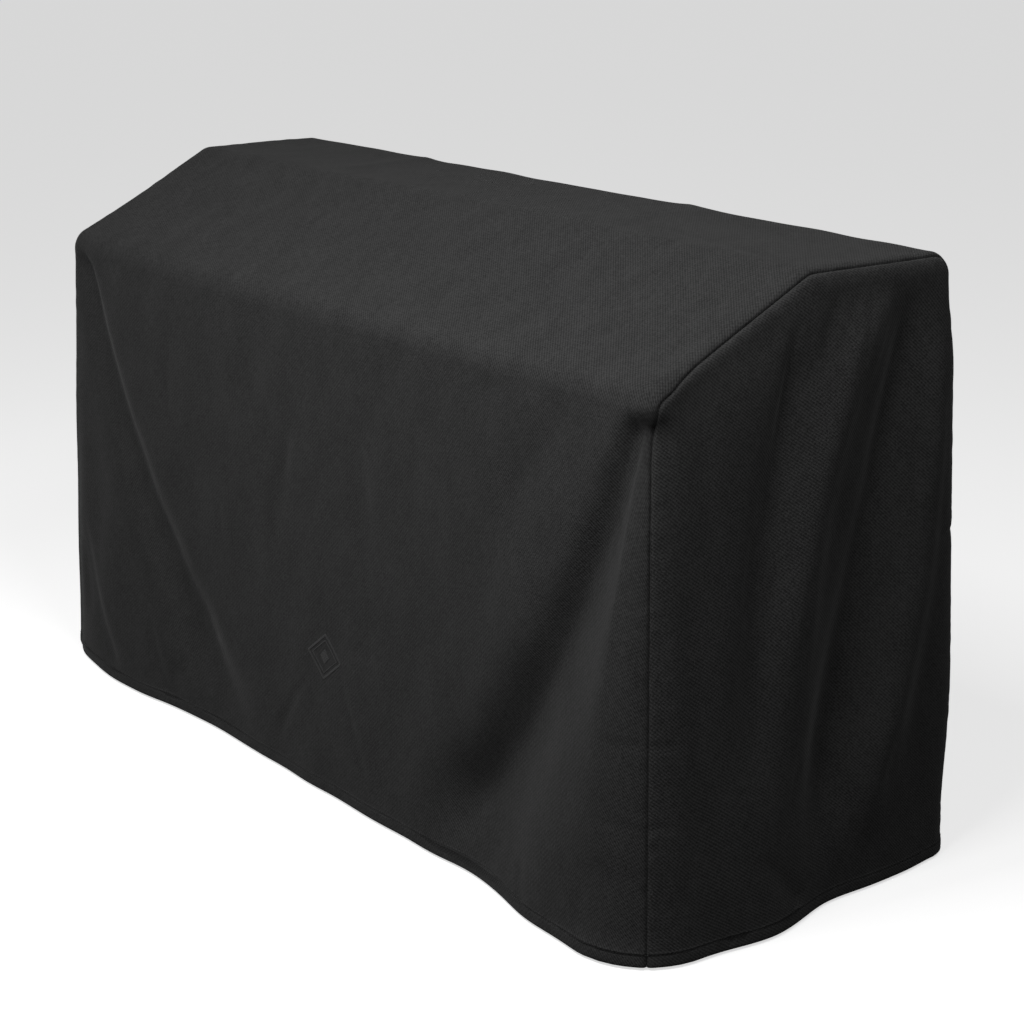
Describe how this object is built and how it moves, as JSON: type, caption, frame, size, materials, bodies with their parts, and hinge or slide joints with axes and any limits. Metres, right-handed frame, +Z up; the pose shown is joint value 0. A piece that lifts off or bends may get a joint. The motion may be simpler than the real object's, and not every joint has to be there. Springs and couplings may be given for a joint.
{
  "type": "piano cover",
  "caption": "Fitted cloth dust cover for a digital piano: a black sewn shell with a sloped lid, flat top and a skirt that hangs in folds, open below.",
  "frame": {"origin": "centre of the underside of the cover's flat top, where it rests on the piano", "axes": "+X to the right along the width, +Y towards the back, +Z up"},
  "size_m": [1.693, 0.6851, 0.8826],
  "materials": {
    "wrap_cloth": "matte woven black",
    "end_cloth_right": "matte woven black",
    "end_cloth_left": "matte woven black"
  },
  "bodies": {
    "root": {"wrap_panel": "wrap_cloth", "end_panel_right": "end_cloth_right", "end_panel_left": "end_cloth_left"}
  },
  "joints": []
}
